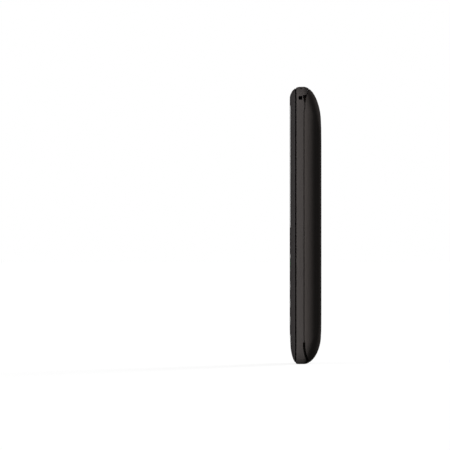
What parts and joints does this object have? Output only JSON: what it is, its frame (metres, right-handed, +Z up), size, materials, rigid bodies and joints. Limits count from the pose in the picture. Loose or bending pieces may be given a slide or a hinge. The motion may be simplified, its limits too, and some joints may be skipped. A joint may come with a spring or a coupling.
{
  "type": "bar mobile phone",
  "caption": "Slim bar phone with a recessed keypad below its display, a pull-off back cover over the battery, and a torch, strap hole and charging port.",
  "frame": {"origin": "middle of the bounding box's bottom face, where the upright phone stands on its port end", "axes": "+X to the phone's right seen from the front, +Y from the display and keys towards the back cover, +Z up from the port end to the earpiece end"},
  "size_m": [0.0582, 0.014, 0.1245],
  "materials": {
    "front_plastic": "satin",
    "frame_plastic": "satin",
    "cover_plastic": "fine matt",
    "key_plastic": "satin",
    "black_rubber": "matt",
    "silicone": "translucent matt",
    "window_plastic": "polished",
    "display": "polished",
    "steel": "stamped",
    "steel_mesh": "woven",
    "black_plastic": "matt",
    "white_plastic": "matt",
    "board": "solder resist",
    "gold": "plated",
    "clear_lens": "polished",
    "battery_wrap": "film",
    "tungsten": "sintered",
    "antenna_copper": "plated"
  },
  "bodies": {
    "housing": {"front_cover": "front_plastic", "front_gasket": "black_rubber", "middle_frame": "frame_plastic", "display_window": "window_plastic", "display_module": "display", "display_tray": "steel", "earpiece_mesh": "steel_mesh", "receiver": "black_plastic", "microphone": "black_plastic", "main_board": "board", "dome_sheet": "steel", "keypad_mat": "silicone", "usb_shell": "steel", "usb_tongue": "black_plastic", "charge_contacts": "gold", "torch_lens": "clear_lens", "torch_led": "white_plastic", "battery_connector": "black_plastic", "sim_socket_1": "steel", "sim_socket_2": "steel", "sd_socket": "steel", "camera_module": "black_plastic", "loudspeaker": "black_plastic", "motor_body": "steel", "shield_cans": "steel", "antenna": "antenna_copper", "frame_screws": "steel"},
    "cover": {"back_cover": "cover_plastic", "camera_window": "window_plastic", "speaker_mesh": "steel_mesh"},
    "battery_pack": {"battery": "battery_wrap"},
    "motor_eccentric": {"motor_weight": "tungsten"},
    "nav_pivot": {"nav_seat": "silicone"},
    "nav_rocker": {"nav_ring": "key_plastic"},
    "key_1": {"key_1": "key_plastic"},
    "key_2": {"key_2": "key_plastic"},
    "key_3": {"key_3": "key_plastic"},
    "key_4": {"key_4": "key_plastic"},
    "key_5": {"key_5": "key_plastic"},
    "key_6": {"key_6": "key_plastic"},
    "key_7": {"key_7": "key_plastic"},
    "key_8": {"key_8": "key_plastic"},
    "key_9": {"key_9": "key_plastic"},
    "key_star": {"key_star": "key_plastic"},
    "key_0": {"key_0": "key_plastic"},
    "key_hash": {"key_hash": "key_plastic"},
    "soft_key_left": {"soft_key_left": "key_plastic"},
    "soft_key_right": {"soft_key_right": "key_plastic"},
    "call_key": {"call_key": "key_plastic"},
    "end_key": {"end_key": "key_plastic"},
    "ok_key": {"ok_key": "key_plastic"}
  },
  "joints": [
    {"name": "key_1_press", "type": "slide", "parent": "housing", "child": "key_1", "axis": [0, 1, 0], "range_m": [0, 0.0003], "stiffness_N_per_m": 1500},
    {"name": "key_2_press", "type": "slide", "parent": "housing", "child": "key_2", "axis": [0, 1, 0], "range_m": [0, 0.0003], "stiffness_N_per_m": 1500},
    {"name": "key_3_press", "type": "slide", "parent": "housing", "child": "key_3", "axis": [0, 1, 0], "range_m": [0, 0.0003], "stiffness_N_per_m": 1500},
    {"name": "key_4_press", "type": "slide", "parent": "housing", "child": "key_4", "axis": [0, 1, 0], "range_m": [0, 0.0003], "stiffness_N_per_m": 1500},
    {"name": "key_5_press", "type": "slide", "parent": "housing", "child": "key_5", "axis": [0, 1, 0], "range_m": [0, 0.0003], "stiffness_N_per_m": 1500},
    {"name": "key_6_press", "type": "slide", "parent": "housing", "child": "key_6", "axis": [0, 1, 0], "range_m": [0, 0.0003], "stiffness_N_per_m": 1500},
    {"name": "key_7_press", "type": "slide", "parent": "housing", "child": "key_7", "axis": [0, 1, 0], "range_m": [0, 0.0003], "stiffness_N_per_m": 1500},
    {"name": "key_8_press", "type": "slide", "parent": "housing", "child": "key_8", "axis": [0, 1, 0], "range_m": [0, 0.0003], "stiffness_N_per_m": 1500},
    {"name": "key_9_press", "type": "slide", "parent": "housing", "child": "key_9", "axis": [0, 1, 0], "range_m": [0, 0.0003], "stiffness_N_per_m": 1500},
    {"name": "key_star_press", "type": "slide", "parent": "housing", "child": "key_star", "axis": [0, 1, 0], "range_m": [0, 0.0003], "stiffness_N_per_m": 1500},
    {"name": "key_0_press", "type": "slide", "parent": "housing", "child": "key_0", "axis": [0, 1, 0], "range_m": [0, 0.0003], "stiffness_N_per_m": 1500},
    {"name": "key_hash_press", "type": "slide", "parent": "housing", "child": "key_hash", "axis": [0, 1, 0], "range_m": [0, 0.0003], "stiffness_N_per_m": 1500},
    {"name": "soft_key_left_press", "type": "slide", "parent": "housing", "child": "soft_key_left", "axis": [0, 1, 0], "range_m": [0, 0.0003], "stiffness_N_per_m": 1500},
    {"name": "soft_key_right_press", "type": "slide", "parent": "housing", "child": "soft_key_right", "axis": [0, 1, 0], "range_m": [0, 0.0003], "stiffness_N_per_m": 1500},
    {"name": "call_key_press", "type": "slide", "parent": "housing", "child": "call_key", "axis": [0, 1, 0], "range_m": [0, 0.0003], "stiffness_N_per_m": 1500},
    {"name": "end_key_press", "type": "slide", "parent": "housing", "child": "end_key", "axis": [0, 1, 0], "range_m": [0, 0.0003], "stiffness_N_per_m": 1500},
    {"name": "ok_key_press", "type": "slide", "parent": "housing", "child": "ok_key", "axis": [0, 1, 0], "range_m": [0, 0.0003], "stiffness_N_per_m": 1500},
    {"name": "nav_up_down", "type": "hinge", "parent": "housing", "child": "nav_pivot", "pos_m": [0, -0.0036, 0.0484], "axis": [1, 0, 0], "range_deg": [-1.2, 1.2], "stiffness_Nm_per_rad": 0.08},
    {"name": "nav_left_right", "type": "hinge", "parent": "nav_pivot", "child": "nav_rocker", "pos_m": [0, -0.0046, 0.0484], "axis": [0, 0, 1], "range_deg": [-1.2, 1.2], "stiffness_Nm_per_rad": 0.08},
    {"name": "cover_pull", "type": "slide", "parent": "housing", "child": "cover", "axis": [0, 1, 0], "range_m": [0, 0.025]},
    {"name": "battery_lift", "type": "slide", "parent": "housing", "child": "battery_pack", "axis": [0, 1, 0], "range_m": [0, 0.0105]},
    {"name": "motor_spin", "type": "hinge", "parent": "housing", "child": "motor_eccentric", "pos_m": [0.01395, 0.00205, 0.0227], "axis": [0, 0, 1], "continuous": true}
  ],
  "couplings": [
    {"joint": "battery_lift", "follows": "cover_pull", "ratio": 0.4}
  ]
}
